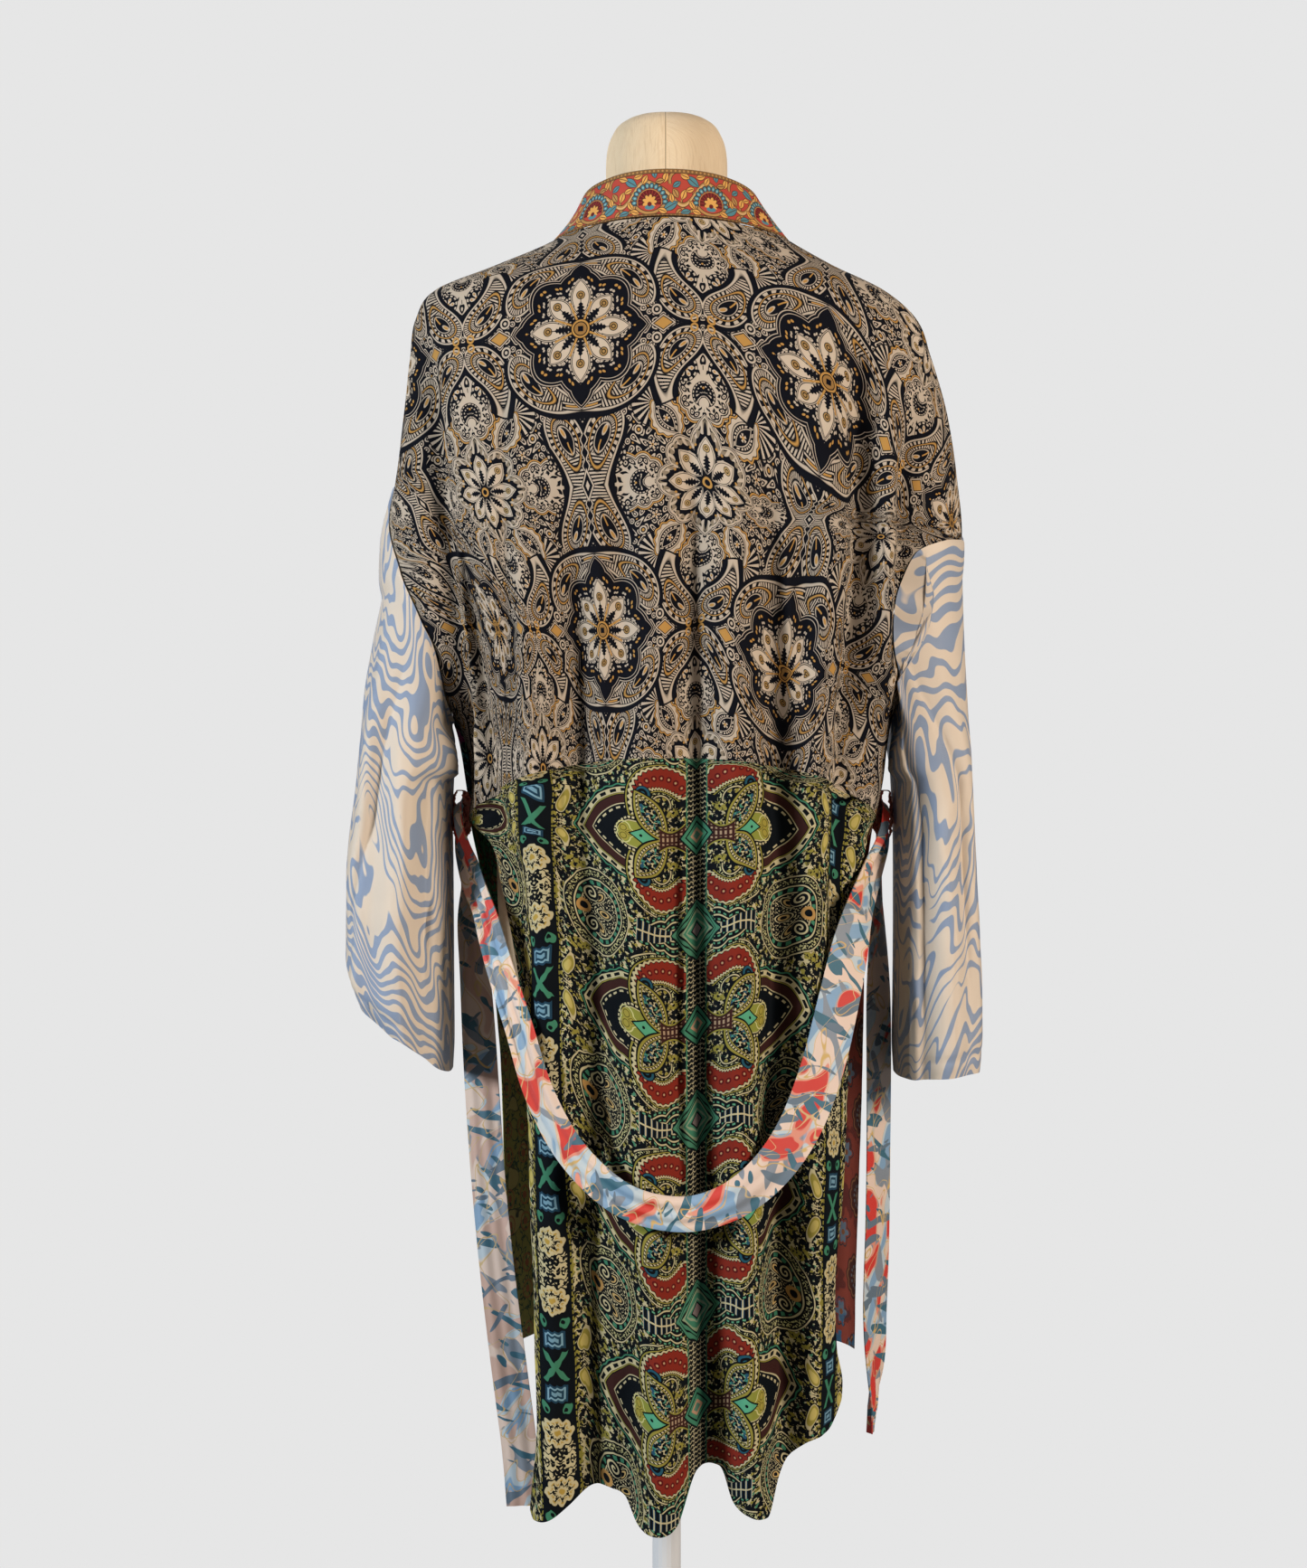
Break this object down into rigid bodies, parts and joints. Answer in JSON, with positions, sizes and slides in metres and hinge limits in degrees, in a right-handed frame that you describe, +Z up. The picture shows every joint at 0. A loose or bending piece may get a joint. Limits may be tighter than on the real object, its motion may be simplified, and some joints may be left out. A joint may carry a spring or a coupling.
{
  "type": "short kimono robe on dress form",
  "caption": "Short kimono robe of patched prints: paisley back, folded skirt with side slits, wood-grain sleeves, red floral neck band and sagging tie belt, open on a limbless dress form",
  "frame": {"origin": "the middle of the base's underside, on the floor", "axes": "+Z up; the robe's open front faces -Y and its back +Y; +X is the wearer's left"},
  "size_m": [0.5572, 0.36, 1.5335],
  "materials": {
    "yoke_print": "near-black cloth with a cream and gold paisley print, smooth viscose",
    "skirt_print": "near-black cloth with a mirrored jade, olive, brick and cream paisley print",
    "front_upper_print": "near-black cloth with a teal, magenta and cream floral print",
    "front_left_print": "jade and olive green cloth with a tone-on-tone print and a rust edge",
    "front_right_print": "rust cloth with brown medallions and grey-blue sprigs over a blue hem",
    "sleeve_print": "cream satin with slate-blue wood-grain swirls",
    "band_print": "coral red cloth with an ochre vine and teal-edged fan flowers",
    "belt_print": "satin with cream, blue, teal, slate and red patches and fine gold outlines",
    "loop_cloth": "crinkled rust cloth",
    "form_linen": "unbleached linen cover, plain weave",
    "stand_paint": "pale grey powder coat, satin"
  },
  "bodies": {
    "root": {"back_yoke": "yoke_print", "back_skirt": "skirt_print", "front_upper_left": "front_upper_print", "front_upper_right": "front_upper_print", "front_lower_left": "front_left_print", "front_lower_right": "front_right_print", "sleeve_left": "sleeve_print", "sleeve_right": "sleeve_print", "neck_band": "band_print", "belt": "belt_print", "belt_loop_left": "loop_cloth", "belt_loop_right": "loop_cloth", "form_torso": "form_linen", "stand_pole": "stand_paint", "stand_base": "stand_paint"}
  },
  "joints": []
}
